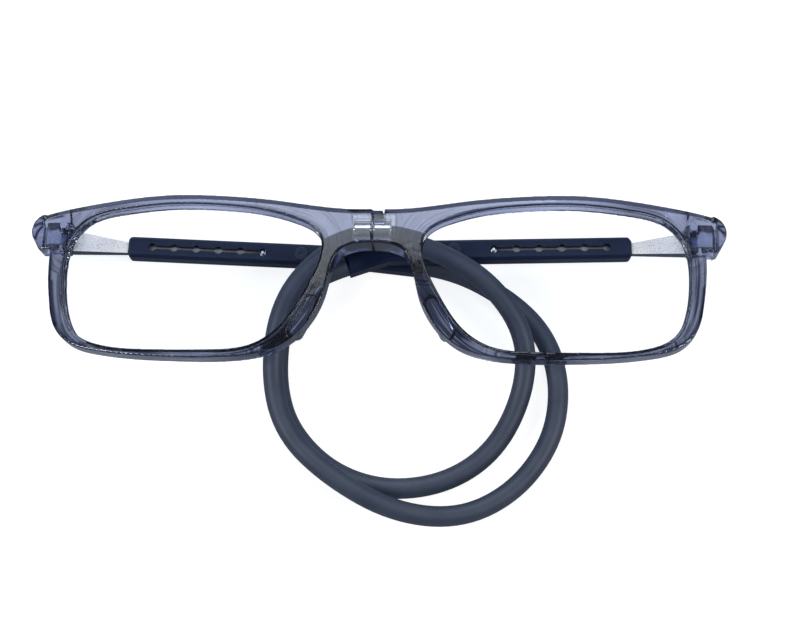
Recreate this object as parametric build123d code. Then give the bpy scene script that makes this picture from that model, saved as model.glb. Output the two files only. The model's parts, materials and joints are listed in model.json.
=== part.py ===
from build123d import *

import os
from math import asin, atan2, ceil, cos, degrees, hypot, pi, radians, sin, sqrt, tan

# Reading glasses whose two halves part at a magnetic bridge, folded on their soft neck band.
# Millimetres. The front and each temple are built on the right-hand side, in a frame of their
# own, and the left-hand ones are their mirror images. The front's frame has its origin on the
# seam at the front surface; a temple's has it on the hinge axis, with the temple along -X.

# The two lens openings and the bars round them, seen from the front
lens_width = 53.5
lens_height = 30.6
lens_gap = 20.2
top_bar = 2.2
bottom_bar = 1.65
side_bar = 3.2
end_piece = 4.2
seam_gap = 0.3

# The front from above: a wrapped slab, deeper at the bridge
wrap_radius = 330.0
rim_depth = 4.4
bridge_depth = 6.6
bridge_flat = 4.6
bridge_ramp = 5.4
bevel_width = 1.3
bevel_depth = 0.9
overrun = 5.0

# Endpiece lug, which reaches back to the hinge, and the cheek that hides the hinge
lug_width = 7.7
lug_height = 7.6
lug_behind = 0.47
cheek_thick = 1.8
cheek_behind = 5.0
end_cut = 1.7
end_cut_rise = 3.0
cheek_cut = 2.6
cheek_cut_rise = 3.4

# Lens, held in a groove all round
lens_thick = 2.0
lens_depth = 1.2
lens_bite = 0.5
lens_fit = 0.05

# Nose pad, moulded with the rim
pad_long = 9.6
pad_wide = 3.0
pad_back = 6.9
pad_root = 1.6
pad_lean = 27.0
pad_drop = 8.3
pad_out = 3.4
pad_round = 1.1

# Magnets in the bridge, and the key on the left half with its notch in the right one
magnet_diameter = 4.7
magnet_length = 3.5
magnet_sink = 0.15
magnet_fit = 0.03
magnet_depth = 3.5
magnet_drop = 4.12
key_reach = 2.1
key_height = 1.15
key_wall = 0.35
key_fit = 0.25

# Hinge: two knuckles on the front's plate, one on the temple blade, one screw
hinge_inset = 3.6
hinge_drop = 3.18
hinge_clear = 1.1
knuckle_radius = 1.5
hinge_length = 4.6
eye_length = 1.5
knuckle_gap = 0.08
screw_diameter = 1.4
screw_fit = 0.03
head_diameter = 2.4
head_height = 0.7
screw_slot = 0.4
plate_thick = 1.0
plate_width = 4.6
arm_width = 1.6
stud_diameter = 1.6
stud_length = 3.6
stud_inset = 3.0
stud_rise = 1.2
stud_fit = 0.02

# Temple blade: a tapered bar outside the sleeve, an even tongue inside it
blade_root = 2.2
blade_height = 4.7
blade_thick = 3.0
tongue_height = 2.4
tongue_thick = 1.7
tongue_drop = 0.85
tongue_fit = 0.06
tongue_end = 1.9
droop = 1.83

# Sleeve on the tongue, with six holes that step the length
sleeve_mouth = 14.9
sleeve_straight = 50.6
sleeve_height = 4.5
sleeve_thick = 4.0
sleeve_bevel = 0.6
taper_end = 0.3
left_tail_length = 10.8
left_tail_angle = 4.2
right_tail_length = 8.6
right_tail_angle = 18.0
hole_diameter = 1.6
hole_pitch = 4.66
hole_count = 6
hole_first = 5.1
slot_neck = 0.7
pin_diameter = 0.6
pin_foot_diameter = 1.2
pin_fit = 0.02
pin_sink = 0.15

# Rivet that holds the metal tang in the sleeve's tail; the tang's peg holds the band
rivet_reach = 36.6
rivet_head = 2.9
rivet_head_height = 0.35
rivet_shank = 1.6
rivet_dimple = 0.8
rivet_dimple_depth = 0.15
rivet_floor = 0.8
rivet_fit = 0.02
tang_height = 2.2
tang_thick = 1.2
tang_lap = 2.1
tang_fit = 0.05
peg_diameter = 1.6
peg_length = 5.0
peg_fit = 0.03

# How the folded temples lie: the right one over the left one, which lies on the table
stack_gap = 0.5
seam_x = -0.4

# Neck band: a silicone cord in two turns, from the left sleeve's tail to the right one's
band_diameter = 4.2
band_clear = 0.05
left_lead = 7.4
right_lead = 6.6
band_route = [
    (28.9, -0.9, 2.15),
    (35.9, -8.8, 2.15),
    (38.4, -19.3, 2.15),
    (36.4, -30.5, 2.2),
    (28.9, -40.6, 2.4),
    (17.9, -46.3, 3.4),
    (4.7, -45.5, 5.8),
    (-8.1, -38.8, 7.2),
    (-17.7, -29.9, 7.2),
    (-20.9, -17.5, 7.4),
    (-19.0, -3.7, 10.5),
    (-11.4, 6.1, 11.2),
    (-0.9, 10.7, 11.2),
    (11.4, 8.1, 11.2),
    (23.3, 1.7, 10.1),
    (31.0, -8.7, 7.4),
    (30.9, -20.0, 4.2),
    (25.4, -31.7, 2.5),
    (15.9, -38.7, 2.15),
    (3.5, -40.8, 2.15),
    (-8.0, -37.4, 2.15),
    (-16.6, -29.2, 2.15),
    (-19.9, -19.9, 2.15),
    (-19.7, -8.5, 3.7),
    (-17.0, -1.6, 5.6),
]
band_arc_share = 0.45
band_probe = 1.0
band_skip = 12.0

# Outlines, as shares of the sizes that they follow. The opening's are of its half width and
# half height, from its middle. The rim's are of its half width and half height, from the seam,
# and the nose's of half the gap between the openings and the rim's half height.
opening_shares = (
    (-1.0, 0.30), (-0.945, 0.62), (-0.81, 0.75), (-0.60, 0.865), (-0.25, 0.96), (0.19, 1.0),
    (0.56, 0.955), (0.83, 0.83), (0.95, 0.60), (1.0, 0.10), (0.965, -0.37), (0.86, -0.73),
    (0.66, -0.90), (0.28, -0.98), (-0.20, -0.998), (-0.50, -0.935), (-0.68, -0.74),
    (-0.85, -0.33), (-0.965, 0.07),
)
top_shares = (
    (0.0, 0.785), (0.165, 0.82), (0.30, 0.901), (0.449, 0.965), (0.614, 1.0), (0.771, 0.968),
    (0.913, 0.904),
)
low_shares = (
    (1.0, 0.094), (0.99, -0.254), (0.966, -0.585), (0.918, -0.776), (0.838, -0.881),
    (0.719, -0.951), (0.584, -0.988), (0.442, -1.0), (0.344, -0.966),
)
nose_shares = (
    (1.81, -0.885), (1.45, -0.742), (1.15, -0.533), (0.96, -0.306), (0.86, -0.08),
    (0.78, 0.112), (0.61, 0.274), (0.32, 0.347), (0.0, 0.358),
)
corner_share = 0.36
corner_height_share = 0.829
corner_bulge_shares = (0.9, 0.743)
end_height_share = 0.57

half_gap = lens_gap / 2
half_width = half_gap + lens_width + side_bar
half_height = (lens_height + top_bar + bottom_bar) / 2
full_half_width = half_width + end_piece
bridge_top = half_height * top_shares[0][1]
lug_top = half_height * corner_height_share
lug_bottom = lug_top - lug_height
lug_back = rim_depth + lug_behind + wrap_radius - sqrt(wrap_radius**2 - full_half_width**2)
cheek_back = lug_back + cheek_behind
magnet_height = bridge_top - magnet_drop
opening_x = half_gap + lens_width / 2
opening_y = half_height - top_bar - lens_height / 2
hinge_x = full_half_width - hinge_inset
hinge_height = lug_top - hinge_drop
hinge_depth = lug_back + plate_thick + hinge_clear + knuckle_radius
stack_step = sleeve_thick + stack_gap
front_tilt = degrees(asin(stack_step / (2 * hinge_x)))
seam_z = (sleeve_thick + stack_step) / 2 + hinge_depth * cos(radians(front_tilt))
front_place = Location((seam_x, 0, seam_z), (0, -front_tilt, 0))
mouth_y = -tongue_drop
peg_lift = band_diameter / 2 + band_clear - sleeve_thick / 2
left_tail = (left_tail_length, left_tail_angle)
right_tail = (right_tail_length, right_tail_angle)


def sag(x):
    """How far the wrapped front surface has fallen back at x."""
    return wrap_radius - sqrt(wrap_radius**2 - x**2)


def box(low, high):
    """A block between two corners."""
    size = [b - a for a, b in zip(low, high)]
    middle = [(a + b) / 2 for a, b in zip(low, high)]
    return Pos(*middle) * Box(*size)


def rod(radius, start, along, length):
    """A round bar of one radius from a point along a direction."""
    return Plane(origin=start, z_dir=along) * extrude(Circle(radius), length)


def opening_points(grow=0.0):
    """The lens opening's outline, moved outwards by grow."""
    spots = [
        (opening_x + a * lens_width / 2, opening_y + b * lens_height / 2)
        for a, b in opening_shares
    ]
    moved = []
    for here, before, after in zip(spots, spots[-1:] + spots[:-1], spots[1:] + spots[:1]):
        dx, dy = after[0] - before[0], after[1] - before[1]
        reach = hypot(dx, dy)
        moved.append((here[0] - grow * dy / reach, here[1] + grow * dx / reach))
    return moved


def opening_prism(grow=0.0):
    """A bar with the lens opening's section, right through the front."""
    face = make_face(Spline(*opening_points(grow), periodic=True))
    return extrude(face, hinge_depth + overrun, both=True)


def front_arc(depth, start, end):
    """The front surface's curve seen from above, set back by depth."""
    middle = (start + end) / 2
    spots = [(x, -sag(x) - depth) for x in (start, middle, end)]
    return ThreePointArc(*spots)


def wrapped_slab(near, far, start, end):
    """A slab that follows the wrap between two depths below the front surface."""
    front = front_arc(near, start, end)
    back = front_arc(far, start, end)
    sides = [Line(front @ 0, back @ 0), Line(front @ 1, back @ 1)]
    face = make_face(Plane.XZ * (Curve() + [front, back] + sides))
    return extrude(face, half_height + overrun, both=True)


def rim_outline():
    """The front's right half as a face, with its endpiece, from the seam outwards."""
    top = [(a * half_width, b * half_height) for a, b in top_shares]
    corner = (half_width + corner_share * end_piece, lug_top)
    bulge = (half_width + corner_bulge_shares[0] * end_piece, corner_bulge_shares[1] * half_height)
    end_top = (full_half_width, end_height_share * half_height)
    cut_top = (full_half_width, lug_bottom + end_cut_rise)
    cut_low = (full_half_width - end_cut, lug_bottom)
    side_top = (half_width, lug_bottom)
    low = [(a * half_width, b * half_height) for a, b in low_shares]
    nose = [(a * half_gap, b * half_height) for a, b in nose_shares]
    upper = Spline(*top, corner)
    lower = Spline(side_top, *low, *nose)
    edges = [
        upper,
        ThreePointArc(corner, bulge, end_top),
        Polyline(end_top, cut_top, cut_low, side_top),
        lower,
        Line(nose[-1], top[0]),
    ]
    return make_face(Curve() + edges)


def bridge_block():
    """The deeper stretch behind the bridge, ramped into the rim, seen from above."""
    end = bridge_flat + bridge_ramp
    ramp_end = (end, -sag(end) - rim_depth)
    spots = [(0, -rim_depth / 2), (end, -rim_depth / 2), ramp_end]
    spots += [(bridge_flat, -bridge_depth), (0, -bridge_depth)]
    face = make_face(Plane.XZ * Polyline(*spots, close=True))
    return extrude(face, half_height + overrun, both=True)


def lug_block():
    """The endpiece's stretch back to the hinge, with the cheek outside the hinge."""
    inner = full_half_width - lug_width
    outer = full_half_width + overrun
    cheek = full_half_width - cheek_thick
    front = front_arc(0, inner, outer)
    walls = Polyline(
        front @ 1, (outer, -cheek_back), (cheek, -cheek_back), (cheek, -lug_back),
        (inner, -lug_back), front @ 0,
    )
    face = make_face(Plane.XZ * (Curve() + [front, walls]))
    return Pos(0, lug_bottom, 0) * extrude(face, half_height + overrun, dir=(0, 1, 0))


def cheek_wedge():
    """The slanting cut across the cheek's lower outer corner."""
    high_x, low_y = full_half_width + cheek_cut, lug_bottom - cheek_cut_rise
    spots = [
        (high_x - 3 * cheek_cut, low_y),
        (high_x, low_y),
        (high_x, low_y + 3 * cheek_cut_rise),
    ]
    corner = make_face(Polyline(*spots, close=True))
    return Pos(0, 0, -cheek_back - overrun) * extrude(corner, cheek_back + overrun - lug_back)


def nose_pad():
    """The pad lobe behind the nose side of the rim."""
    pad = extrude(SlotOverall(pad_long, pad_wide, rotation=90), pad_back - pad_root)
    pad = fillet(pad.faces().sort_by(Axis.Z)[0].edges(), pad_round)
    return Pos(half_gap + pad_out, -pad_drop, -pad_back) * Rot(0, 0, pad_lean) * pad


def magnet_rod(grow, length, start):
    """A bar on the magnet's axis, from start outwards."""
    return rod(magnet_diameter / 2 + grow, (start, magnet_height, -magnet_depth), (1, 0, 0), length)


def key_block(grow):
    """Two corners of the key across the seam, or with grow of the notch that clears it."""
    low = (-seam_gap / 2, bridge_top - key_height - grow, -bridge_depth + key_wall - grow)
    high = (key_reach + grow, bridge_top - key_wall + grow, -key_wall + grow)
    return low, high


def stud_spot():
    """Where the hinge plate's stud stands, seen from the front."""
    return (hinge_x - stud_inset, hinge_height + stud_rise)


def bevel_wedge():
    """The wedge that leaves a bevel along the front's upper edge, lofted along it."""
    start = (-overrun / half_width, top_shares[0][1])
    end = (1 + corner_share * end_piece / half_width, corner_height_share)
    sections = []
    for a, b in (start, *top_shares, end):
        x, y = a * half_width, b * half_height
        z = -sag(x)
        low, high = y - 2 * bevel_width, y + bevel_width
        near, far = z + bevel_depth, z - 2 * bevel_depth
        sections.append(make_face(Polyline((x, low, near), (x, high, far), (x, high, near),
                                           close=True)))
    return loft(sections)


def make_rim():
    """The right rim: outline through slab, bridge and lug, with everything cut into it."""
    edge = full_half_width + overrun / 2
    outline = extrude(rim_outline(), hinge_depth + overrun, both=True)
    slab = wrapped_slab(0, rim_depth, 0, edge)
    rim = outline & (slab + bridge_block() + lug_block())
    rim = rim - bevel_wedge() + nose_pad()
    rim -= opening_prism()
    groove_near, groove_far = lens_depth - lens_fit, lens_depth + lens_thick + lens_fit
    groove = wrapped_slab(groove_near, groove_far, half_gap / 2, edge)
    rim -= opening_prism(lens_bite + lens_fit) & groove
    rim -= box((-overrun, -half_height - overrun, -hinge_depth), (seam_gap / 2, half_height, overrun))
    pocket_start = seam_gap / 2 - overrun
    rim -= magnet_rod(magnet_fit, overrun + magnet_sink + magnet_length + magnet_fit, pocket_start)
    x, y = stud_spot()
    rim -= rod(stud_diameter / 2 + stud_fit, (x, y, -lug_back - overrun), (0, 0, 1),
               overrun + stud_length + stud_fit)
    return rim - cheek_wedge()


def make_key():
    """The key on the left half's seam face, bevelled as the front is."""
    return box(*key_block(0)) - Pos(0, -key_wall, 0) * bevel_wedge()


def right_rim(rim):
    """The right rim with the key's notch, open at the top, the front and the back."""
    low, high = key_block(key_fit)
    return rim - box((low[0], low[1], -bridge_depth - overrun), (high[0], half_height, overrun))


def make_lens():
    """A lens, its edge standing in the groove."""
    edge = full_half_width + overrun / 2
    return opening_prism(lens_bite) & wrapped_slab(lens_depth, lens_depth + lens_thick, 0, edge)


def make_magnet():
    """One disc of the pair that closes the bridge."""
    magnet = magnet_rod(0, magnet_length, seam_gap / 2 + magnet_sink)
    return chamfer(magnet.edges(), magnet_sink)


def knuckle(low, high, radius):
    """A ring of the hinge on its axis between two heights."""
    return rod(radius, (0, low, 0), (0, 1, 0), high - low)


def make_hinge_plate():
    """The plate on the lug's back, its stud, two arms and the two outer knuckles."""
    half = hinge_length / 2
    gap_half = eye_length / 2 + knuckle_gap
    plate_z = hinge_depth - lug_back
    right = arm_width / 2
    plate = box((right - plate_width, -half, plate_z - plate_thick), (right, half, plate_z))
    for low, high in ((-half, -gap_half), (gap_half, half)):
        plate += knuckle(low, high, knuckle_radius)
        plate += box((-right, low, 0), (right, high, plate_z - plate_thick / 2))
    plate -= knuckle(-half - overrun, half + overrun, screw_diameter / 2 + screw_fit)
    x, y = stud_spot()
    stud = rod(stud_diameter / 2, (x - hinge_x, y - hinge_height, plate_z - plate_thick / 2),
               (0, 0, 1), stud_length + plate_thick / 2)
    return plate + stud


def make_screw():
    """The hinge screw, its slotted head on the upper knuckle."""
    half = hinge_length / 2
    screw = knuckle(-half, half + head_height, screw_diameter / 2)
    screw += knuckle(half, half + head_height, head_diameter / 2)
    slot = head_diameter / 2 + overrun
    depth = half + head_height / 2
    return screw - box((-slot, depth, -screw_slot / 2), (slot, half + overrun, screw_slot / 2))


def tongue_reach():
    """How far the tongue reaches from the hinge, to just past its pin."""
    return pin_reach() + tongue_end


def pin_reach():
    """The pin's distance from the hinge: it stands in the hole farthest from the mouth."""
    return sleeve_mouth + hole_first + (hole_count - 1) * hole_pitch


def make_blade():
    """The temple blade: eye and neck on the hinge axis, taper and tongue along the temple."""
    root, mouth, end = -blade_root, -sleeve_mouth + taper_end, -tongue_reach()
    half = tongue_height / 2
    side = [
        (root, blade_height / 2), (mouth, mouth_y + half), (end, mouth_y + half),
        (end, mouth_y - half), (mouth, mouth_y - half), (root, -blade_height / 2),
    ]
    above = [
        (root, blade_thick / 2), (mouth, tongue_thick / 2), (end, tongue_thick / 2),
        (end, -tongue_thick / 2), (mouth, -tongue_thick / 2), (root, -blade_thick / 2),
    ]
    tall = extrude(make_face(Polyline(*side, close=True)), blade_thick, both=True)
    thick = make_face(Plane.XZ * Polyline(*above, close=True))
    body = Rot(0, 0, droop) * (tall & extrude(thick, blade_height, both=True))
    eye = knuckle(-eye_length / 2, eye_length / 2, knuckle_radius)
    neck = box((-blade_root * 2, -eye_length / 2, -tongue_thick / 2),
               (0, eye_length / 2, tongue_thick / 2))
    blade = body + eye + neck
    blade -= knuckle(-overrun, overrun, screw_diameter / 2 + screw_fit)
    return blade - Rot(0, 0, droop) * pin_foot(pin_fit)


def pin_foot(grow):
    """The pin's foot in the tongue, or with grow the hole for it."""
    return rod(pin_foot_diameter / 2 + grow, (-pin_reach(), mouth_y, -tongue_thick / 2 - grow),
               (0, 0, 1), tongue_thick + grow * 2)


def make_pin():
    """The detent pin, which stands up from the tongue into a hole of the slot."""
    tip = sleeve_thick / 2 - pin_sink + tongue_thick / 2
    pin = rod(pin_diameter / 2, (-pin_reach(), mouth_y, -tongue_thick / 2), (0, 0, 1), tip)
    return Rot(0, 0, droop) * (pin_foot(0) + pin)


def tail_points(tail):
    """The sleeve's middle line for a tail's length and angle: mouth, bend and tip."""
    length, angle = tail
    knee = (-sleeve_mouth - sleeve_straight, mouth_y)
    tip = (knee[0] - length * cos(radians(angle)), mouth_y - length * sin(radians(angle)))
    return (-sleeve_mouth, mouth_y), knee, tip


def ribbon(points, half, thick):
    """A flat bar of even width along three points, mitred at the middle one."""
    start, knee, tip = points
    bend = atan2(knee[1] - tip[1], knee[0] - tip[0])
    mitre = (half * tan(bend / 2), half)
    over = (-half * sin(bend), half * cos(bend))
    spots = [
        (start[0], start[1] + half),
        (knee[0] - mitre[0], knee[1] + mitre[1]),
        (tip[0] + over[0], tip[1] + over[1]),
        (tip[0] - over[0], tip[1] - over[1]),
        (knee[0] + mitre[0], knee[1] - mitre[1]),
        (start[0], start[1] - half),
    ]
    return extrude(make_face(Polyline(*spots, close=True)), thick / 2, both=True)


def slot_tool():
    """Six round holes joined by narrow necks, cut down into the tongue's channel."""
    first = -sleeve_mouth - hole_first
    last = first - (hole_count - 1) * hole_pitch
    neck = box((last, mouth_y - slot_neck / 2, 0), (first, mouth_y + slot_neck / 2, sleeve_thick))
    for step in range(hole_count):
        spot = (first - step * hole_pitch, mouth_y, 0)
        neck += rod(hole_diameter / 2, spot, (0, 0, 1), sleeve_thick)
    return neck


def rivet_spot():
    """Where the rivet stands along the sleeve, on its middle line."""
    return -sleeve_mouth - rivet_reach


def make_sleeve(tail):
    """A temple sleeve, with its tongue channel, slot, rivet hole and tang channel."""
    sleeve = ribbon(tail_points(tail), sleeve_height / 2, sleeve_thick)
    faces = sleeve.faces().sort_by(Axis.Z)
    sleeve = chamfer(faces[-1].edges() + faces[0].edges(), sleeve_bevel)
    half_y, half_z = tongue_height / 2 + tongue_fit, tongue_thick / 2 + tongue_fit
    sleeve -= box((-tongue_reach() - tongue_fit, mouth_y - half_y, -half_z),
                  (0, mouth_y + half_y, half_z))
    sleeve -= slot_tool()
    sleeve -= tang_bar(tail, tang_fit, overrun) + peg_bar(tail, peg_fit, overrun)
    shank = rod(rivet_shank / 2 + rivet_fit, (rivet_spot(), mouth_y, rivet_floor - sleeve_thick / 2),
                (0, 0, 1), sleeve_thick)
    return Rot(0, 0, droop) * (sleeve - shank)


def tang_bar(tail, grow, past):
    """The flat of the tang through the tail, or with grow the channel for it."""
    length, angle = tail
    knee, tip = tail_points((length + past, angle))[1:]
    start = (rivet_spot() + tang_lap + grow, mouth_y)
    return ribbon((start, knee, tip), tang_height / 2 + grow, tang_thick + 2 * grow)


def peg_bar(tail, grow, past):
    """The round peg from the tail's bend to past its tip, or with grow the bore for it."""
    knee, tip = tail_points(tail)[1:]
    along = (tip[0] - knee[0], tip[1] - knee[1], 0)
    return rod(peg_diameter / 2 + grow, (*knee, peg_lift), along, tail[0] + past)


def make_tang(tail):
    """The metal tang in the tail, with the peg that enters the band's end."""
    tang = tang_bar(tail, 0, 0) + peg_bar(tail, 0, peg_length)
    hole = rod(rivet_shank / 2 + rivet_fit, (rivet_spot(), mouth_y, -sleeve_thick), (0, 0, 1),
               2 * sleeve_thick)
    return Rot(0, 0, droop) * (tang - hole)


def make_rivet():
    """The rivet, its low head on the sleeve's face with a small dimple."""
    spot = (rivet_spot(), mouth_y)
    top = sleeve_thick / 2
    shank = rod(rivet_shank / 2, (*spot, rivet_floor - top), (0, 0, 1), sleeve_thick - rivet_floor)
    head = rod(rivet_head / 2, (*spot, top), (0, 0, 1), rivet_head_height)
    head = fillet(head.faces().sort_by(Axis.Z)[-1].edges(), rivet_head_height / 2)
    dimple = rod(rivet_dimple / 2, (*spot, top + rivet_head_height - rivet_dimple_depth), (0, 0, 1),
                 overrun)
    return Rot(0, 0, droop) * (shank + head - dimple)


def hinge_place(side):
    """The frame of a temple and its hinge: side is 1 on the right and -1 on the left."""
    spot = front_place * Pos(side * hinge_x, hinge_height, -hinge_depth)
    return Pos(*spot.position)


def front_hinge_place(side):
    """The same point, turned with the tilted front."""
    return front_place * Pos(side * hinge_x, hinge_height, -hinge_depth)


def both(side, shape):
    """The right-hand shape, or its mirror image for the left."""
    return shape if side > 0 else mirror(shape, about=Plane.YZ)


def tail_tip(side, tail):
    """Where the band meets the sleeve's tail, and the way it leaves."""
    knee, tip = [Rot(0, 0, droop) * Pos(x, y, 0) for x, y in tail_points(tail)[1:]]
    turn = hinge_place(side).position
    ends = [turn + Vector(side * p.position.X, p.position.Y, peg_lift) for p in (knee, tip)]
    return ends[1], (ends[1] - ends[0]).normalized()


def band_points():
    """The band's whole route, from the left tail's tip to the right one's."""
    start, start_way = tail_tip(-1, left_tail)
    end, end_way = tail_tip(1, right_tail)
    route = [Vector(*p) for p in band_route]
    return [start, start + start_way * left_lead, *route, end + end_way * right_lead, end]


def make_band():
    """The band as straight runs and tangent arcs, with a bore for the peg at each end."""
    points = band_points()
    runs = [b - a for a, b in zip(points, points[1:])]
    radii = []
    for before, after in zip(runs, runs[1:]):
        turn = radians(before.get_angle(after))
        radii.append(band_arc_share * min(before.length, after.length) / tan(turn / 2))
    path = FilletPolyline(*points, radius=radii)
    start = Plane(origin=points[0], z_dir=runs[0])
    band = sweep(start * Circle(band_diameter / 2), path=path)
    ideal = (band_diameter / 2) ** 2 * pi * path.length
    print("band runs", [round(run.length, 1) for run in runs])
    print("band radii", [round(radius, 1) for radius in radii])
    print("band length", round(path.length, 1), "volume over section x length",
          round(band.volume / ideal, 5))
    print("band least gap to itself", round(least_gap(path), 2))
    print("band points", [[round(v, 2) for v in point] for point in points])
    for spot, along in ((points[0], runs[0]), (points[-1], -runs[-1])):
        band -= rod(peg_diameter / 2 + peg_fit, spot, along, peg_length + peg_fit)
    return band


def least_gap(path):
    """The smallest gap between two stretches of the band, from points along its middle line."""
    count = ceil(path.length / band_probe)
    spots = [path @ (step / count) for step in range(count + 1)]
    skip = ceil(band_skip / band_probe)
    gaps = [(a - b).length for i, a in enumerate(spots) for b in spots[i + skip:]]
    return min(gaps) - band_diameter


def make_parts():
    """Every piece in its place, by name."""
    parts = {"neck_band": make_band()}
    rim, lens, magnet, plate, screw = (
        make_rim(), make_lens(), make_magnet(), make_hinge_plate(), make_screw()
    )
    parts["bridge_key"] = front_place * make_key()
    for side, name, tail in ((1, "right", right_tail), (-1, "left", left_tail)):
        half = right_rim(rim) if side > 0 else both(side, rim)
        hinge, temple = front_hinge_place(side), hinge_place(side)
        parts[f"rim_{name}"] = front_place * half
        parts[f"lens_{name}"] = front_place * both(side, lens)
        parts[f"magnet_{name}"] = front_place * both(side, magnet)
        parts[f"hinge_plate_{name}"] = hinge * both(side, plate)
        parts[f"hinge_screw_{name}"] = hinge * both(side, screw)
        parts[f"temple_blade_{name}"] = temple * both(side, make_blade())
        parts[f"detent_pin_{name}"] = temple * both(side, make_pin())
        parts[f"sleeve_{name}"] = temple * both(side, make_sleeve(tail))
        parts[f"band_tang_{name}"] = temple * both(side, make_tang(tail))
        parts[f"band_rivet_{name}"] = temple * both(side, make_rivet())
    return parts


os.makedirs("parts", exist_ok=True)
for part_name, part_shape in make_parts().items():
    export_step(part_shape, f"parts/{part_name}.step")
for part_side, side_name, side_tail in ((1, "right", right_tail), (-1, "left", left_tail)):
    print(side_name, "hinge at", [round(v, 3) for v in hinge_place(part_side).position])
    print(side_name, "tail ends at", *[
        [round(v, 3) for v in spot] for spot in tail_tip(part_side, side_tail)])
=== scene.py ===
import json
from math import cos, hypot, radians, sin

import bmesh
import bpy
from mathutils import Matrix, Vector
from mathutils.bvhtree import BVHTree
from mathutils.kdtree import KDTree

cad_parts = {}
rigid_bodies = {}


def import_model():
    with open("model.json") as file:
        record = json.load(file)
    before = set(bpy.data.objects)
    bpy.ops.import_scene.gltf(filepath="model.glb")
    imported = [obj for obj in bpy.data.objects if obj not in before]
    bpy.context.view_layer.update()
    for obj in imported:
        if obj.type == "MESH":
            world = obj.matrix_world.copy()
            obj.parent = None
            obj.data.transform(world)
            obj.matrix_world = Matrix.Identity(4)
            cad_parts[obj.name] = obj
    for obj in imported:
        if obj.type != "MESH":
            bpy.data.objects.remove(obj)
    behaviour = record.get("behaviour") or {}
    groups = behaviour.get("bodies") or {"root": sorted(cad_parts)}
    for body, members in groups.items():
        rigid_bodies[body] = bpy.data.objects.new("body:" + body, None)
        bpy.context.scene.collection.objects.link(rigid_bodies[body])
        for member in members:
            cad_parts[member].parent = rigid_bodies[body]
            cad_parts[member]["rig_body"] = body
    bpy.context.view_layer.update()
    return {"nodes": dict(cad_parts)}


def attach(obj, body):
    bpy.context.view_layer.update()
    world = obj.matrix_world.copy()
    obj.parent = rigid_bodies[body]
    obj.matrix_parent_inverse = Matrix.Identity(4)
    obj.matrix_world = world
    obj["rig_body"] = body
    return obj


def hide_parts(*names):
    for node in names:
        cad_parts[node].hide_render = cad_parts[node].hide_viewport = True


# Folding reading glasses on a white table. All sizes are in metres: a size in millimetres is
# written times MM. Each piece that is made here rides on a body of the frame.

MM = 0.001
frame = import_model()
scene = bpy.context.scene

# The viewpoint of the photograph: in front of and above the folded glasses
camera_azimuth = radians(5.901)
camera_elevation = radians(75.0)
camera_roll = radians(-4.805)
camera_distance = 322.5 * MM
camera_target = Vector((5.415, -7.298, 14.0)) * MM
camera_lens = 72.44
camera_sensor = 36.0
camera_near = 0.01

# The white sheet under the glasses, in a room that is dim beyond it
table_radius = 0.28
table_sides = 96
table_glow = 0.84
room_strength = 0.4

# The lights, with powers in watts: a soft box that leans over from the back, and a lamp at each
# side
softbox_spot = (-0.08, 0.68, 0.73)
softbox_width = 0.6
softbox_height = 0.98
softbox_power = 5.9
lamp_x = 0.75
lamp_y = -0.15
lamp_z = 0.78
lamp_size = 0.3
lamp_power = 4.3

# The band's route, from the left sleeve's tail to the right one's
band_diameter = 4.2 * MM
band_route = [
    (8.96, 7.02, 2.15),
    (16.32, 6.25, 2.15),
    (28.9, -0.9, 2.15),
    (35.9, -8.8, 2.15),
    (38.4, -19.3, 2.15),
    (36.4, -30.5, 2.2),
    (28.9, -40.6, 2.4),
    (17.9, -46.3, 3.4),
    (4.7, -45.5, 5.8),
    (-8.1, -38.8, 7.2),
    (-17.7, -29.9, 7.2),
    (-20.9, -17.5, 7.4),
    (-19.0, -3.7, 10.5),
    (-11.4, 6.1, 11.2),
    (-0.9, 10.7, 11.2),
    (11.4, 8.1, 11.2),
    (23.3, 1.7, 10.1),
    (31.0, -8.7, 7.4),
    (30.9, -20.0, 4.2),
    (25.4, -31.7, 2.5),
    (15.9, -38.7, 2.15),
    (3.5, -40.8, 2.15),
    (-8.0, -37.4, 2.15),
    (-16.6, -29.2, 2.15),
    (-19.9, -19.9, 2.15),
    (-19.7, -8.5, 3.7),
    (-17.0, -1.6, 5.6),
    (-12.24, 3.0, 6.65),
    (-6.03, 5.24, 6.65),
]

# Edges that a mould or a tool leaves
merge_reach = 0.004 * MM
flat_angle = radians(0.5)
rim_voxel = 0.2 * MM
rim_smoothing = 3
smoothing_step = 0.5
edge_angle = radians(32.0)
edge_segments = 3
sleeve_edge = 0.22 * MM
blade_edge = 0.3 * MM
metal_edge = 0.12 * MM

# The rounded upright corners at the sleeves' open ends
mouth_round = 0.9 * MM
mouth_reach = mouth_round / 2
mouth_segments = 5
upright_share = 0.9

# Bands of painted shade along the corners of the clear front, full near the corner and gone at
# the width
rim_corner = radians(25.0)
edge_step = 0.2 * MM
edge_band = 0.55 * MM
side_band = 1.6 * MM
seam_band = 0.3 * MM
seam_x = -0.4 * MM
seam_reach = 0.4 * MM
full_share = 0.3

# A corner is in a groove or a hole where a probe from its flat side meets another wall
probe_inset = 0.3 * MM
probe_lift = 0.05 * MM
probe_reach = 8.0 * MM

# The middle of each lens opening, and how squarely its own walls face it
opening_x = 35.0 * MM
opening_y = -5.0 * MM
opening_end = 64.0 * MM
opening_share = 0.5

# The magnets' pockets, which are pale, with the thin clear wall before each
pocket_reach = 4.2 * MM
pocket_low_y = 6.9 * MM
pocket_high_y = 11.9 * MM
pocket_y = 9.4 * MM
pocket_z = 16.95 * MM
pocket_radius = 2.95 * MM
window_half = 2.45 * MM
pocket_mark = -1.0
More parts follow.
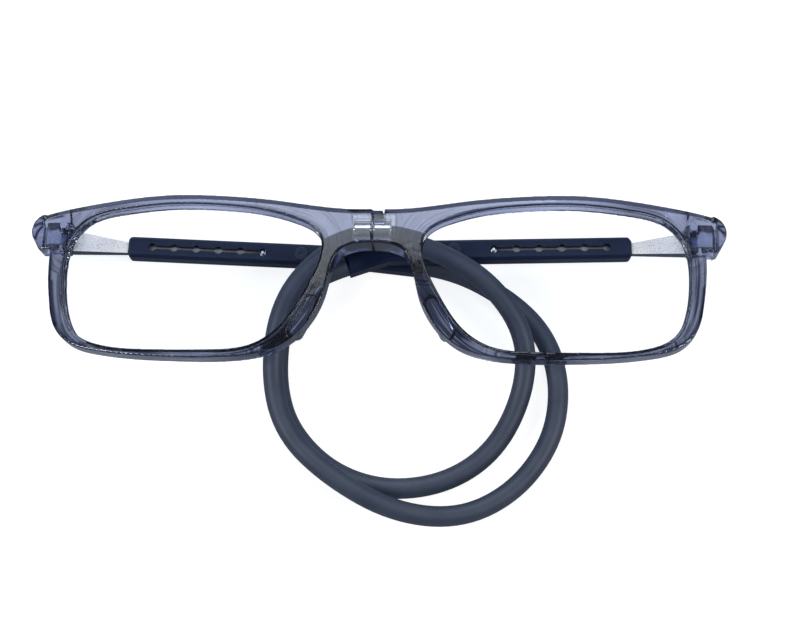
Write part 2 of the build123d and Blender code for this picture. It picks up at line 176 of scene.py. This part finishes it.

# Two more places with painted shade: low on the cheeks outside the hinges, and the wall over
# the nose
cheek_x = 66.5 * MM
cheek_y = 11.5 * MM
cheek_tops = {"left": 5.3 * MM, "right": 9.8 * MM}
cheek_shade = 0.3
under_slope = -0.5
under_x = 12.0 * MM
under_y = 8.0 * MM
under_shade = 0.8

# Stretches of the front that are more rounded than the top bar, where painted shade and painted
# streaks stand in for the light that the plastic loses there
side_start = 58.0 * MM
side_full = 64.0 * MM
low_start = 0.0 * MM
low_full = -9.0 * MM
corner_start = 36.0 * MM
corner_full = 56.0 * MM
corner_band = 3.2 * MM
inner_start = 36.0 * MM
inner_full = 20.0 * MM
inner_band = 2.6 * MM
nose_x = 25.0 * MM
nose_full_x = 19.0 * MM
nose_top = 9.0 * MM
nose_full_top = 1.0 * MM
nose_share = 1.45
bridge_x = 24.0 * MM
bridge_full_x = 16.0 * MM
bridge_low = 1.0 * MM
bridge_full_low = 6.0 * MM
bridge_share = 0.5
end_start = 4.0 * MM
end_full = 9.0 * MM
end_relief = 0.8

# The painted shade of those stretches, and the painted dark streaks on it
bar_shade = 0.36
streak_width = 0.5 * MM
streak_length = 14 * MM
streak_start = 4.0 * MM
streak_end = 7.0 * MM

# Forms that flow into the front at its back: the nose pads and the lugs
pad_reach = 26.0 * MM
pad_back = 14.2 * MM
pad_top_y = 2.0 * MM
pad_root = 16.6 * MM
pad_rounds = 90
lug_inner_x = 57.5 * MM
lug_outer_x = 65.0 * MM
lug_slope = -0.2
lug_back_slope = -0.5
lug_rounds = 60

# The wedge between the bar's back, where it starts, and the lug's wall, where it ends
web_start = ((58.6 * MM, 13.5 * MM), (58.6 * MM, 15.7 * MM))
web_end = ((64.2 * MM, 8.2 * MM), (64.2 * MM, 14.8 * MM))
web_probe = 0.6 * MM
web_sink = 0.1 * MM
web_root = 3.0 * MM


def linear(code):
    """An sRGB hex colour as linear red, green, blue and alpha."""
    parts = [int(code[i:i + 2], 16) / 255 for i in (1, 3, 5)]
    return (*(c / 12.92 if c <= 0.04045 else ((c + 0.055) / 1.055) ** 2.4 for c in parts), 1.0)


def node(tree, kind, inputs=None, **settings):
    """Adds a node with its own settings, and a value or another node's output for each input."""
    made = tree.nodes.new("ShaderNode" + kind)
    for key, value in settings.items():
        setattr(made, key, value)
    for key, value in (inputs or {}).items():
        if isinstance(value, bpy.types.NodeSocket):
            tree.links.new(value, made.inputs[key])
        else:
            made.inputs[key].default_value = value
    return made


def new_material(name):
    """An empty material and its node tree."""
    made = bpy.data.materials.new(name)
    made.use_nodes = True
    made.node_tree.nodes.clear()
    return made, made.node_tree


def speckle(tree, grain, detail=3.0):
    """Noise on Object coordinates whose grain is about that size."""
    spot = node(tree, "TexCoord")
    return node(tree, "TexNoise", {
        "Vector": spot.outputs["Object"], "Scale": 1 / grain, "Detail": detail,
    }).outputs["Fac"]


def bump(tree, height, strength, distance):
    """The surface's direction, disturbed by a height that varies."""
    return node(tree, "Bump", {
        "Strength": strength, "Distance": distance, "Height": height,
    }).outputs["Normal"]


def spread(tree, value, start, end, low=0.0, high=1.0):
    """A value that runs from low to high while another one runs from start to end."""
    return node(tree, "MapRange", {
        "Value": value, "From Min": start, "From Max": end, "To Min": low, "To Max": high,
    }).outputs[0]


def combine(tree, operation, first, second, **settings):
    """Two values made into one."""
    made = node(tree, "Math", {0: first, 1: second}, operation=operation, **settings)
    return made.outputs[0]


def ramp(tree, value, start, start_colour, end, end_colour):
    """A colour that runs from one to the other while a value runs from start to end."""
    made = node(tree, "ValToRGB", {"Fac": value})
    first, last = made.color_ramp.elements
    first.position = start
    first.color = linear(start_colour)
    last.position = end
    last.color = linear(end_colour)
    return made.outputs["Color"]


def mix_colour(tree, factor, first, second):
    """A colour between two others."""
    return node(tree, "Mix", {
        0: factor, "A": first, "B": second,
    }, data_type="RGBA").outputs["Result"]


def mix_shader(tree, factor, first, second):
    """A surface between two others."""
    return node(tree, "MixShader", {0: factor, 1: first.outputs[0], 2: second.outputs[0]})


def crystal_plastic():
    """Injection-moulded clear polycarbonate, tinted grey-violet. A dark band of painted shade
    follows each edge, and the surface is painted darker where it is seen at a low angle, in place
    of the light that the plastic turns along the bar and loses. Dark painted streaks run along the
    bars, the bevel on the upper edge is painted a flat dark grey as painted shade, and the
    magnets' pockets are pale."""
    made, tree = new_material("crystal_polycarbonate")
    marks = node(tree, "Attribute", attribute_name="rim_marks")
    edge, depth, bar_shade_weight = node(tree, "SeparateXYZ", {0: marks.outputs["Vector"]}).outputs
    spot = node(tree, "TexCoord")

    # Painted streaks of shade along the bars, in place of the light that the plastic bends inside
    # them
    along = node(tree, "VectorMath", {
        0: spot.outputs["Object"], "Scale": 1 / streak_length,
    }, operation="SCALE")
    along_x, along_y, _ = node(tree, "SeparateXYZ", {0: along.outputs[0]}).outputs
    across = combine(tree, "MULTIPLY", depth, 1 / streak_width)
    lanes = node(tree, "CombineXYZ", {0: across, 1: along_x, 2: along_y})
    streak_noise = node(tree, "TexNoise", {"Vector": lanes.outputs[0], "Scale": 1.0, "Detail": 2.0})
    streak = spread(tree, streak_noise.outputs["Fac"], 0.42, 0.66, 0.0, 0.62)
    near = spread(tree, depth, streak_end, streak_start)
    drawn = combine(tree, "MULTIPLY", streak, near)
    shade = combine(tree, "ADD", drawn, bar_shade)
    in_bar = combine(tree, "MULTIPLY", shade, bar_shade_weight)

    # Painted shade where the surface is seen at a low angle
    facing = node(tree, "LayerWeight", {"Blend": 0.5}).outputs["Facing"]
    steep = spread(tree, facing, 0.3, 0.95, 0.0, 0.4)
    # The painted shade of the corners, the cheeks, the wall over the nose and the bars turns the
    # tint to dark navy
    deep = combine(tree, "MAXIMUM", edge, in_bar)
    painted_shade_amount = combine(tree, "ADD", deep, steep, use_clamp=True)
    tint = ramp(tree, painted_shade_amount, 0.0, "#A3ABC5", 0.85, "#10172A")

    # Painted shade: the bevel on the upper edge, which faces up and forward, is painted a flat
    # dark grey
    _, up_slope, front_slope = node(tree, "SeparateXYZ", {0: spot.outputs["Normal"]}).outputs
    upper = spread(tree, up_slope, 0.2, 0.4)
    front = spread(tree, front_slope, 0.25, 0.4)
    bevel = combine(tree, "MULTIPLY", upper, front)
    colour = mix_colour(tree, bevel, tint, linear("#262D40"))
    pocket = spread(tree, edge, -0.2, -0.8)
    moulded = mix_colour(tree, pocket, colour, linear("#DCDFE8"))

    body = node(tree, "BsdfPrincipled", {
        "Base Color": moulded, "Roughness": 0.08, "IOR": 1.52, "Transmission Weight": 1.0,
        "Normal": bump(tree, speckle(tree, 6 * MM), 0.12, 0.3 * MM),
    })
    passing = node(tree, "BsdfTransparent", {"Color": linear("#E2E4EC")})
    light = node(tree, "LightPath")
    mix = mix_shader(tree, light.outputs["Is Shadow Ray"], body, passing)
    haze = node(tree, "VolumeAbsorption", {"Color": linear("#606CA8"), "Density": 50.0})
    node(tree, "OutputMaterial", {"Surface": mix.outputs[0], "Volume": haze.outputs[0]})
    return made


def clear_resin():
    """Cast lens resin with an anti-reflection coat: it mirrors only where it is seen at a low
    angle."""
    made, tree = new_material("coated_lens_resin")
    through = node(tree, "BsdfTransparent", {"Color": linear("#FBFCFD")})
    gloss = node(tree, "BsdfGlossy", {"Color": linear("#D8DCE8"), "Roughness": 0.02})
    facing = node(tree, "LayerWeight", {"Blend": 0.5}).outputs["Facing"]
    mix = mix_shader(tree, spread(tree, facing, 0.65, 1.0, 0.0, 0.5), through, gloss)
    node(tree, "OutputMaterial", {"Surface": mix.outputs[0]})
    return made


def plated_metal(name, colour, grain, smoothest, roughest):
    """Bright plated metal, whose roughness varies a little from place to place."""
    made, tree = new_material(name)
    rough = spread(tree, speckle(tree, grain), 0.0, 1.0, smoothest, roughest)
    body = node(tree, "BsdfPrincipled", {
        "Base Color": linear(colour), "Metallic": 1.0, "Roughness": rough,
    })
    node(tree, "OutputMaterial", {"Surface": body.outputs[0]})
    return made


def blasted_aluminium():
    """Blasted and bright-dipped aluminium: pale with a fine grain. Its lower side is painted dark
    as painted shade, and it is painted darker where walls shut it in, as in the sleeves' slots, as
    painted shade from an ambient-occlusion node."""
    made, tree = new_material("blasted_aluminium")
    grain = speckle(tree, 0.22 * MM, 4.0)
    tone = ramp(tree, grain, 0.32, "#C4C4C0", 0.5, "#FFFBF3")
    spot = node(tree, "TexCoord")
    # Painted shade: faces that point down the blade, its lower narrow side, are painted dark
    _, up_slope, _ = node(tree, "SeparateXYZ", {0: spot.outputs["Normal"]}).outputs
    painted_underside = spread(tree, up_slope, -0.55, -0.8)
    colour = mix_colour(tree, painted_underside, tone, linear("#2E3542"))
    # Painted shade: an ambient-occlusion node darkens the metal where walls shut it in, as in the
    # sleeves' slots
    around = node(tree, "AmbientOcclusion", {"Distance": 2.5 * MM}, samples=8)
    open_share = spread(tree, around.outputs["AO"], 0.32, 0.68)
    body = node(tree, "BsdfPrincipled", {
        "Base Color": mix_colour(tree, open_share, linear("#343B47"), colour),
        "Metallic": 0.15, "Roughness": 0.4, "Normal": bump(tree, grain, 0.5, 0.06 * MM),
    })
    node(tree, "OutputMaterial", {"Surface": body.outputs[0]})
    return made


def satin_nylon(name, colour, roughness):
    """Satin moulded nylon: near black with a blue cast and a fine spark texture. The rivets are a
    little paler and smoother than the sleeves."""
    made, tree = new_material(name)
    body = node(tree, "BsdfPrincipled", {
        "Base Color": linear(colour), "Specular IOR Level": 0.22, "Roughness": roughness,
        "Normal": bump(tree, speckle(tree, 0.2 * MM, 4.0), 0.12, 0.03 * MM),
    })
    node(tree, "OutputMaterial", {"Surface": body.outputs[0]})
    return made


def matt_silicone():
    """Extruded silicone cord, slate grey: matt with a soft bloom and a little dust."""
    made, tree = new_material("matt_silicone")
    tone = ramp(tree, speckle(tree, 5 * MM), 0.3, "#303849", 0.7, "#394254")
    body = node(tree, "BsdfPrincipled", {
        "Base Color": tone, "Roughness": 0.52,
        "Normal": bump(tree, speckle(tree, 0.15 * MM, 4.0), 0.1, 0.03 * MM),
    })
    node(tree, "OutputMaterial", {"Surface": body.outputs[0]})
    return made


def white_table():
    """White card: to the eye and through the glasses it is white with a faint shadow, and in
    mirroring surfaces it is dimmer."""
    made, tree = new_material("white_card")
    lit = node(tree, "BsdfDiffuse", {"Color": linear("#F4F4F4")})
    mirrored = node(tree, "BsdfDiffuse", {"Color": linear("#ACB0BA")})
    faint = node(tree, "BsdfDiffuse", {"Color": linear("#A8A8A8")})
    glow = node(tree, "Emission", {"Color": linear("#FFFFFF"), "Strength": table_glow})
    seen = node(tree, "AddShader", {0: faint.outputs[0], 1: glow.outputs[0]})
    light = node(tree, "LightPath")
    around = mix_shader(tree, light.outputs["Is Glossy Ray"], lit, mirrored)
    direct = combine(
        tree, "MAXIMUM", light.outputs["Is Camera Ray"], light.outputs["Is Transmission Ray"],
    )
    mix = mix_shader(tree, direct, around, seen)
    node(tree, "OutputMaterial", {"Surface": mix.outputs[0]})
    return made


def link(name, mesh):
    """A new object for a mesh or curve, in the scene."""
    made = bpy.data.objects.new(name, mesh)
    scene.collection.objects.link(made)
    return made


def dress(name, finish):
    """Gives a CAD node its finish."""
    piece = frame["nodes"][name]
    piece.data.materials.clear()
    piece.data.materials.append(finish)


def place(piece, finish, slot, body, *nodes):
    """Gives a piece its finish and body, and lets it stand for its CAD nodes."""
    piece.data.materials.clear()
    piece.data.materials.append(finish)
    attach(piece, body)
    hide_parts(*nodes)


def merged_copy(*names):
    """The meshes of CAD nodes as one, with their loose triangles joined into flat faces."""
    made = bmesh.new()
    for name in names:
        made.from_mesh(frame["nodes"][name].data)
    bmesh.ops.remove_doubles(made, verts=made.verts, dist=merge_reach)
    bmesh.ops.dissolve_limit(
        made, angle_limit=flat_angle, use_dissolve_boundaries=False,
        verts=made.verts, edges=made.edges,
    )
    mesh = bpy.data.meshes.new(names[0])
    made.to_mesh(mesh)
    made.free()
    return mesh


def apply_modifiers(piece):
    """Leaves the piece with the mesh that its modifiers make."""
    graph = bpy.context.evaluated_depsgraph_get()
    mesh = bpy.data.meshes.new_from_object(piece.evaluated_get(graph))
    piece.modifiers.clear()
    piece.data = mesh


def shade_smooth(piece):
    """Smooth shading all over."""
    for face in piece.data.polygons:
        face.use_smooth = True


def share(value, start, end):
    """How far a value has gone from start to end, from 0 to 1."""
    return min(1.0, max(0.0, (value - start) / (end - start)))


def nearest(spots):
    """A search tree over some points."""
    tree = KDTree(len(spots))
    for index, spot in enumerate(spots):
        tree.insert(spot, index)
    tree.balance()
    return tree


def back_height(tree, x, y):
    """How high a mesh's back is over the table at a place."""
    return tree.ray_cast(Vector((x, y, 0)), Vector((0, 0, 1)))[0].z


def beside_lug(spot):
    """Whether a point is as far out on the front as its lug."""
    return lug_inner_x < abs(spot.x) < lug_outer_x


def in_pad(spot):
    """Whether a point is on a nose pad, at its root on the bar or at the bridge's back."""
    at_root = spot.y < pad_top_y and spot.z < pad_root
    return abs(spot.x) < pad_reach and (spot.z < pad_back or at_root)


def in_pocket(spot):
    """Whether a point is on the wall of a magnet's pocket, or on the thin clear wall before it."""
    if abs(spot.x) > pocket_reach:
        return False
    deep = hypot(spot.y - pocket_y, spot.z - pocket_z) < pocket_radius
    return deep or spot.z > pocket_z and abs(spot.y - pocket_y) < window_half


def in_cheek(spot):
    """Whether a point is low on the cheek outside the hinge."""
    lowest = cheek_tops["left"] if spot.x < 0 else cheek_tops["right"]
    return abs(spot.x) > cheek_x and spot.z < lowest and spot.y < cheek_y


def under_bridge(spot, normal):
    """Whether a point is on the wall over the nose, which faces down the front."""
    return abs(spot.x) < under_x and spot.y < under_y and normal.y < under_slope


def add_web(mesh):
    """Adds a wedge in the corner between the bar's back and the lug, where a moulding has no
    step."""
    made = bmesh.new()
    made.from_mesh(mesh)
    tree = BVHTree.FromBMesh(made)
    hand = -1 if min(v.co.x for v in made.verts) < seam_x - seam_reach else 1
    spots = []
    for x, y in web_start:
        spots.append((hand * x, y, back_height(tree, hand * x, y) + web_sink))
    for x, y in web_end:
        low = back_height(tree, hand * (x + web_probe), y)
        spots += [(hand * x, y, low), (hand * x, y, low + web_root)]
    corners = [made.verts.new(spot) for spot in spots]
    bmesh.ops.convex_hull(made, input=corners)
    made.to_mesh(mesh)
    made.free()
    return mesh


def melt(piece, rounds, wanted):
    """Smooths the points of a piece that are wanted, so that their form flows into the rest."""
    made = bmesh.new()
    made.from_mesh(piece.data)
    made.normal_update()
    spots = [v for v in made.verts if wanted(v.co, v.normal)]
    for _ in range(rounds):
        bmesh.ops.smooth_vert(
            made, verts=spots, factor=smoothing_step,
            use_axis_x=True, use_axis_y=True, use_axis_z=True,
        )
    made.to_mesh(piece.data)
    made.free()


def in_recess(edge, tree):
    """Whether a corner belongs to a groove or a hole: its flat side then faces another wall."""
    flat = max(edge.link_faces, key=lambda face: abs(face.normal.z))
    wall = min(edge.link_faces, key=lambda face: abs(face.normal.z))
    middle = (edge.verts[0].co + edge.verts[1].co) / 2
    start = middle - wall.normal * probe_inset + flat.normal * probe_lift
    return tree.ray_cast(start, flat.normal, probe_reach)[0] is not None


def faces_opening(middle, walls):
    """Whether one of a corner's walls faces the middle of the lens opening."""
    opening = Vector((opening_x if middle.x > 0 else -opening_x, opening_y, middle.z))
    inward = opening - middle
    faced = max(wall.dot(inward) for wall in walls) > opening_share * inward.length
    return abs(middle.x) < opening_end and faced


def corner_points(mesh):
    """Points along a mesh's corners, each with its band's width and whether it is on the
    opening's side of the bar."""
    made = bmesh.new()
    made.from_mesh(mesh)
    tree = BVHTree.FromBMesh(made)
    spots = []
    for edge in made.edges:
        if len(edge.link_faces) != 2 or edge.calc_face_angle() < rim_corner:
            continue
        start, end = (v.co for v in edge.verts)
        middle = (start + end) / 2
        walls = [face.normal for face in edge.link_faces]
        at_seam = max(abs(start.x - seam_x), abs(end.x - seam_x)) < seam_reach
        at_pocket = abs(middle.x) < pocket_reach and pocket_low_y < middle.y < pocket_high_y
        at_lug = min(wall.z for wall in walls) < lug_back_slope and beside_lug(middle)
        if at_lug or in_pad(middle) or not (at_seam or at_pocket) and in_recess(edge, tree):
            continue
        inner = faces_opening(middle, walls)
        at_side = abs(middle.x) > side_start and middle.y < 0 and not inner
        reach = seam_band if at_seam or at_pocket else side_band if at_side else edge_band
        count = max(1, round((end - start).length / edge_step))
        spots += [(start.lerp(end, (i + 0.5) / count), reach, inner) for i in range(count)]
    made.free()
    return spots


def bar_shade_share(spot, depth):
    """How much painted shade and painted streaks a point gets: 1 where the front is more rounded,
    on its side bars, its lower bars and round the opening's outer corner, more beside the nose,
    less on the bridge, and 0 on the top bar."""
    reach = abs(spot.x)
    corner = share(reach, corner_start, corner_full) * share(depth, corner_band, 0)
    inner = share(reach, inner_start, inner_full) * share(depth, inner_band, 0)
    side = share(reach, side_start, side_full)
    side *= 1 - end_relief * share(spot.y, end_start, end_full)
    low = share(spot.y, low_start, low_full)
    nose = share(reach, nose_x, nose_full_x) * share(spot.y, nose_top, nose_full_top)
    bridge = share(reach, bridge_x, bridge_full_x) * share(spot.y, bridge_low, bridge_full_low)
    return max(side, corner, inner, low, nose_share * nose, bridge_share * bridge)


def mark_rim(piece, mesh):
    """Writes three marks at each point: its painted shade, how far it is from the opening, and the
    painted shade of its stretch of the front. The painted shade is 1 on a corner and 0 past the
    corner's band, at least a set share low on the cheek and below the bridge, and below 0 in a
    magnet's pocket."""
    spots = corner_points(mesh)
    bands = [
        (nearest([spot for spot, band, _ in spots if band == reach]), reach)
        for reach in (seam_band, edge_band, side_band)
    ]
    opening = nearest([spot for spot, _, inner in spots if inner])
    values = []
    for vertex in piece.data.vertices:
        edge = max(
            share(tree.find(vertex.co)[2], reach, full_share * reach) for tree, reach in bands
        )
        if in_pocket(vertex.co):
            edge = pocket_mark
        # Painted shade low on the cheek and on the wall over the nose, which faces down
        elif in_cheek(vertex.co):
            edge = max(edge, cheek_shade)
        elif under_bridge(vertex.co, vertex.normal):
            edge = max(edge, under_shade)
        depth = opening.find(vertex.co)[2]
        values += [edge, depth, bar_shade_share(vertex.co, depth)]
    marks = piece.data.attributes.new("rim_marks", "FLOAT_VECTOR", "POINT")
    marks.data.foreach_set("vector", values)


def make_rim(side, finish, *nodes):
    """The moulded half front: the CAD forms as one, with the soft edges that polishing leaves."""
    piece = link(f"moulded_rim_{side}", add_web(merged_copy(*nodes)))
    remesh = piece.modifiers.new("skin", "REMESH")
    remesh.mode = "VOXEL"
    remesh.voxel_size = rim_voxel
    smooth = piece.modifiers.new("polish", "SMOOTH")
    smooth.iterations = rim_smoothing
    smooth.factor = smoothing_step
    apply_modifiers(piece)
    melt(piece, pad_rounds, lambda spot, _: abs(spot.x) < pad_reach and spot.z < pad_back)
    melt(piece, lug_rounds, lambda spot, normal: beside_lug(spot) and normal.z < lug_slope)
    shade_smooth(piece)
    mark_rim(piece, merged_copy(*nodes))
    place(piece, finish, "rim", f"{side}_front", *nodes)


def round_mouth(mesh):
    """Rounds the upright corners at a sleeve's open end."""
    made = bmesh.new()
    made.from_mesh(mesh)
    reach = max(abs(v.co.x) for v in made.verts) - mouth_reach
    corners = [
        edge for edge in made.edges
        if min(abs(v.co.x) for v in edge.verts) > reach and edge.is_manifold
        and abs((edge.verts[0].co - edge.verts[1].co).normalized().z) > upright_share
        and edge.calc_face_angle() > edge_angle
    ]
    ys = [v.co.y for edge in corners for v in edge.verts]
    outer = [
        edge for edge in corners
        if min(edge.verts[0].co.y - min(ys), max(ys) - edge.verts[0].co.y) < mouth_reach
    ]
    bmesh.ops.bevel(
        made, geom=outer, offset=mouth_round, segments=mouth_segments, profile=0.5,
        affect="EDGES", material=-1,
    )
    made.to_mesh(mesh)
    made.free()
    return mesh


def make_softened(name, finish, slot, edge):
    """A CAD node's form with small rounded edges."""
    mesh = merged_copy(name)
    piece = link(f"softened_{name}", round_mouth(mesh) if slot == "sleeve" else mesh)
    bevel = piece.modifiers.new("edges", "BEVEL")
    bevel.width = edge
    bevel.segments = edge_segments
    bevel.limit_method = "ANGLE"
    bevel.angle_limit = edge_angle
    weigh = piece.modifiers.new("shading", "WEIGHTED_NORMAL")
    weigh.keep_sharp = True
    shade_smooth(piece)
    apply_modifiers(piece)
    shade_smooth(piece)
    place(piece, finish, slot, frame["nodes"][name]["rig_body"], name)


def make_band(finish):
    """The silicone band as a round tube on a smooth spline."""
    curve = bpy.data.curves.new("band", "CURVE")
    curve.dimensions = "3D"
    line = curve.splines.new("NURBS")
    line.points.add(len(band_route) - 1)
    for point, spot in zip(line.points, band_route):
        point.co = (*(c * MM for c in spot), 1)
    line.order_u = 3
    line.use_endpoint_u = True
    line.resolution_u = 8
    curve.bevel_depth = band_diameter / 2
    curve.bevel_resolution = 6
    curve.use_fill_caps = True
    piece = link("silicone_band", curve)
    place(piece, finish, "band", "headband", "neck_band")


def make_floor():
    """The table top."""
    made = bmesh.new()
    bmesh.ops.create_circle(made, cap_ends=True, segments=table_sides, radius=table_radius)
    mesh = bpy.data.meshes.new("table_top")
    made.to_mesh(mesh)
    made.free()
    piece = link("table_top", mesh)
    piece.data.materials.append(white_table())


def make_camera():
    """The camera at the photograph's viewpoint, with its small roll."""
    back = Vector((
        sin(camera_azimuth) * cos(camera_elevation),
        -cos(camera_azimuth) * cos(camera_elevation),
        sin(camera_elevation),
    ))
    right = Vector((cos(camera_azimuth), sin(camera_azimuth), 0))
    up = back.cross(right)
    turned_right = right * cos(camera_roll) + up * sin(camera_roll)
    turned_up = up * cos(camera_roll) - right * sin(camera_roll)
    data = bpy.data.cameras.new("camera")
    data.lens = camera_lens
    data.sensor_width = camera_sensor
    data.clip_start = camera_near
    camera = link("camera", data)
    turn = Matrix((turned_right, turned_up, back)).transposed().to_4x4()
    camera.matrix_world = Matrix.Translation(camera_target + back * camera_distance) @ turn
    scene.camera = camera


def add_light(name, spot, width, height, power, colour="#FFFFFF"):
    """A rectangular soft light that faces the object."""
    data = bpy.data.lights.new(name, "AREA")
    data.shape = "RECTANGLE"
    data.size = width
    data.size_y = height
    data.energy = power
    data.color = linear(colour)[:3]
    light = link(name, data)
    spot = Vector(spot)
    turn = spot.to_track_quat("Z", "Y").to_matrix().to_4x4()
    light.matrix_world = Matrix.Translation(spot) @ turn


def light_scene():
    """The lights, and a dim room that is white only to the eye."""
    add_light(
        "back_softbox", softbox_spot, softbox_width, softbox_height, softbox_power, "#EAF4FF",
    )
    add_light("left_lamp", (-lamp_x, lamp_y, lamp_z), lamp_size, lamp_size, lamp_power)
    add_light("right_lamp", (lamp_x, lamp_y, lamp_z), lamp_size, lamp_size, lamp_power)
    world = bpy.data.worlds.new("room")
    scene.world = world
    world.use_nodes = True
    tree = world.node_tree
    tree.nodes.clear()
    light = node(tree, "LightPath")
    room = node(tree, "Background", {"Color": linear("#A8ACB8"), "Strength": room_strength})
    white = node(tree, "Background", {"Color": linear("#FFFFFF"), "Strength": 1.0})
    mix = mix_shader(tree, light.outputs["Is Camera Ray"], room, white)
    node(tree, "OutputWorld", {"Surface": mix.outputs[0]})
    scene.view_settings.view_transform = "Standard"


def main():
    """Builds the scene piece by piece."""
    make_camera()
    light_scene()
    make_floor()
    crystal = crystal_plastic()
    resin = clear_resin()
    nickel = plated_metal("nickel_plate", "#E0DEDA", 0.5 * MM, 0.03, 0.08)
    aluminium = blasted_aluminium()
    steel = plated_metal("bright_plated_steel", "#C9CACC", 0.4 * MM, 0.16, 0.32)
    silicone = matt_silicone()
    nylon = satin_nylon("satin_nylon", "#18233C", 0.44)
    cap = satin_nylon("satin_rivet_cap", "#2C374C", 0.36)
    make_rim("left", crystal, "rim_left", "bridge_key")
    make_rim("right", crystal, "rim_right")
    for side in ("left", "right"):
        dress(f"lens_{side}", resin)
        make_softened(f"magnet_{side}", nickel, "magnet", metal_edge)
        make_softened(f"hinge_plate_{side}", steel, "hinge", metal_edge)
        make_softened(f"hinge_screw_{side}", steel, "screw", metal_edge)
        make_softened(f"temple_blade_{side}", aluminium, "blade", blade_edge)
        dress(f"detent_pin_{side}", steel)
        make_softened(f"sleeve_{side}", nylon, "sleeve", sleeve_edge)
        make_softened(f"band_rivet_{side}", cap, "rivet", metal_edge)
        dress(f"band_tang_{side}", steel)
    make_band(silicone)


main()
